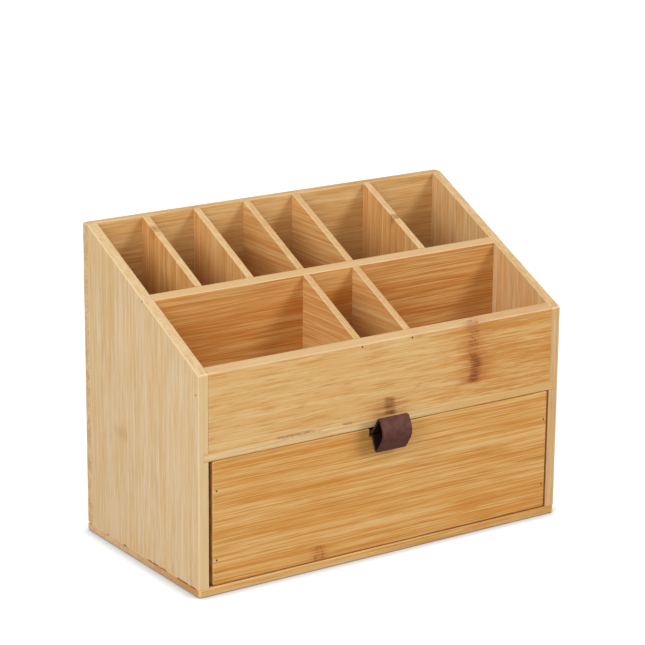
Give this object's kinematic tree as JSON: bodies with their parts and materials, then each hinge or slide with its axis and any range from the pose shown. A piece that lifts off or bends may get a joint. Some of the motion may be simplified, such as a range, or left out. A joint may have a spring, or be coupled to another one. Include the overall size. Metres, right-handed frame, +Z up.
{
  "type": "makeup organizer with drawer",
  "caption": "Bamboo makeup organizer: a sloping open rack with upright dividers in two rows over a full-width drawer that slides out by a folded leather pull.",
  "frame": {"origin": "centre of the base panel's underside, on the surface that it stands on", "axes": "+X across the width to the right as seen from the front, -Y towards the user and the way the drawer opens, +Z up"},
  "size_m": [0.255, 0.1426, 0.191],
  "materials": {
    "bamboo_side": "satin clear-coated bamboo, upright strips",
    "bamboo_pale": "satin clear-coated bamboo",
    "bamboo_front": "satin clear-coated bamboo, strips across, warmer streaks",
    "bamboo_drawer": "sanded bamboo",
    "bamboo_ply": "thin bamboo sheet",
    "brown_leather": "smooth dark brown leather",
    "staple_steel": "dull wire staples",
    "brad_steel": "dull sunk brads"
  },
  "bodies": {
    "carcass": {"left_side": "bamboo_side", "right_side": "bamboo_side", "base_panel": "bamboo_pale", "back_panel": "bamboo_pale", "drawer_shelf": "bamboo_pale", "cross_divider": "bamboo_pale", "rear_divider_1": "bamboo_pale", "rear_divider_2": "bamboo_pale", "rear_divider_3": "bamboo_pale", "rear_divider_4": "bamboo_pale", "rear_divider_5": "bamboo_pale", "front_divider_1": "bamboo_pale", "front_divider_2": "bamboo_pale", "front_panel": "bamboo_front", "front_panel_brads": "brad_steel", "side_brads": "brad_steel", "back_brads": "brad_steel", "base_brads": "brad_steel"},
    "drawer": {"drawer_front": "bamboo_front", "drawer_left_side": "bamboo_drawer", "drawer_right_side": "bamboo_drawer", "drawer_back": "bamboo_drawer", "drawer_bottom": "bamboo_ply", "pull_strap": "brown_leather", "strap_staples": "staple_steel", "drawer_front_brads": "brad_steel", "drawer_back_brads": "brad_steel"}
  },
  "joints": [
    {"name": "drawer_slide", "type": "slide", "parent": "carcass", "child": "drawer", "axis": [0, -1, 0], "range_m": [0, 0.1]}
  ]
}
